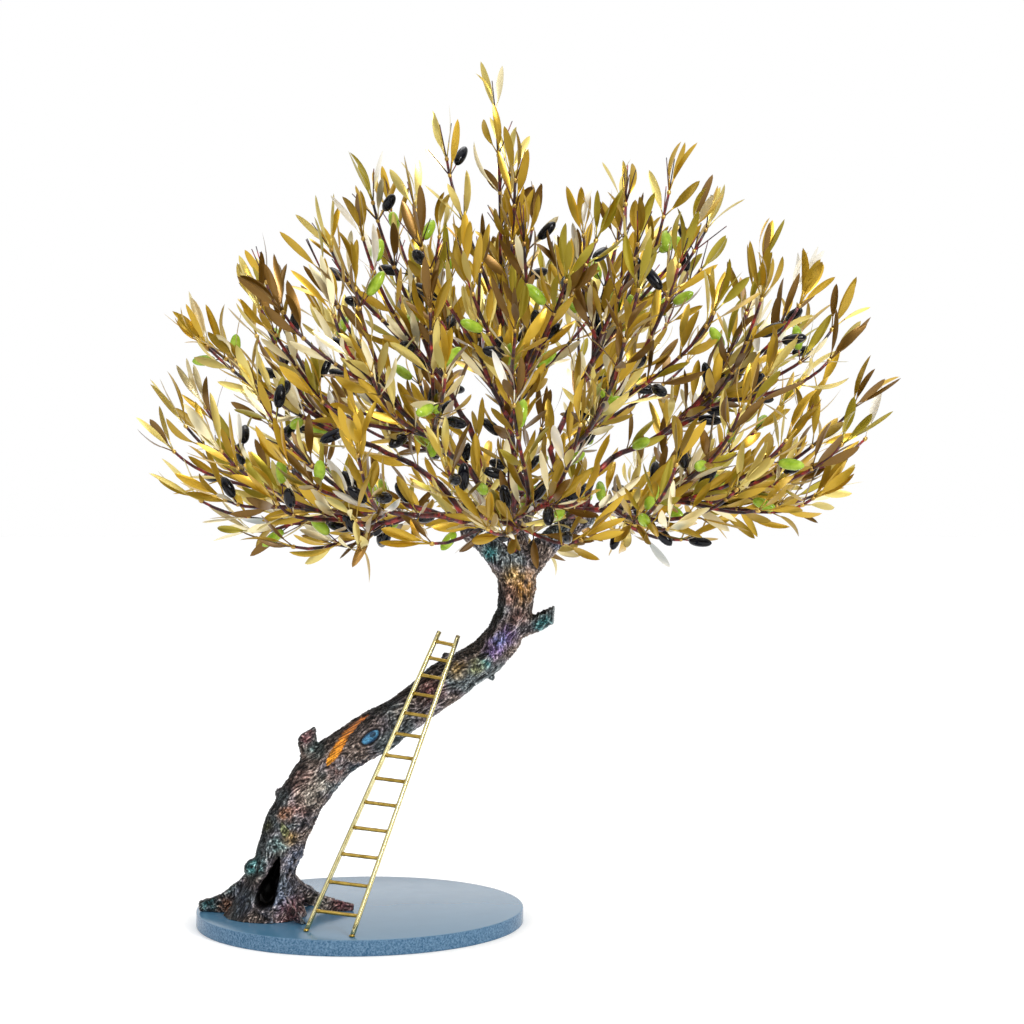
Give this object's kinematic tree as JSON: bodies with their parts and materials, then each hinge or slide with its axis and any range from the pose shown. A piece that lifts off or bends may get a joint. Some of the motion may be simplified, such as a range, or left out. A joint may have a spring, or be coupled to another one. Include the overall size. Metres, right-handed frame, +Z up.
{
  "type": "olive tree sculpture",
  "caption": "Metal table sculpture of a leaning olive tree with a spreading domed crown, a tapered ladder against its trunk, and a round plate to stand on.",
  "frame": {"origin": "centre of the plate's flat underside", "axes": "+Z up; +X the way the trunk leans, to the right as seen from the ladder's side; -Y towards the ladder's side"},
  "size_m": [0.5892, 0.4997, 0.6865],
  "materials": {
    "plate": "dark blue-grey steel, finely speckled edge, satin sheen on top",
    "bark": "cast bronze with dark patina, pale ridges and patches of turquoise, violet and ochre",
    "twig": "dark red-brown lacquered wire",
    "foliage": null,
    "ladder": "polished brass rod"
  },
  "bodies": {
    "root": {"base_plate": "plate", "trunk": "bark", "limb_left": "bark", "limb_right": "bark", "limb_back": "bark", "bough_low_1": "twig", "bough_low_2": "twig", "bough_low_3": "twig", "bough_low_4": "twig", "bough_low_5": "twig", "bough_low_6": "twig", "bough_low_7": "twig", "bough_low_8": "twig", "bough_mid_1": "twig", "bough_mid_2": "twig", "bough_mid_3": "twig", "bough_mid_4": "twig", "bough_mid_5": "twig", "bough_mid_6": "twig", "bough_high_1": "twig", "bough_high_2": "twig", "bough_high_3": "twig", "bough_high_4": "twig", "bough_top": "twig", "foliage_low_1": "foliage", "foliage_low_2": "foliage", "foliage_low_3": "foliage", "foliage_low_4": "foliage", "foliage_low_5": "foliage", "foliage_low_6": "foliage", "foliage_low_7": "foliage", "foliage_low_8": "foliage", "foliage_mid_1": "foliage", "foliage_mid_2": "foliage", "foliage_mid_3": "foliage", "foliage_mid_4": "foliage", "foliage_mid_5": "foliage", "foliage_mid_6": "foliage", "foliage_high_1": "foliage", "foliage_high_2": "foliage", "foliage_high_3": "foliage", "foliage_high_4": "foliage", "foliage_top": "foliage", "ladder_rail_left": "ladder", "ladder_rail_right": "ladder", "ladder_rung_01": "ladder", "ladder_rung_02": "ladder", "ladder_rung_03": "ladder", "ladder_rung_04": "ladder", "ladder_rung_05": "ladder", "ladder_rung_06": "ladder", "ladder_rung_07": "ladder", "ladder_rung_08": "ladder", "ladder_rung_09": "ladder", "ladder_rung_10": "ladder", "ladder_rung_11": "ladder", "ladder_rung_12": "ladder", "ladder_rung_13": "ladder"}
  },
  "joints": []
}
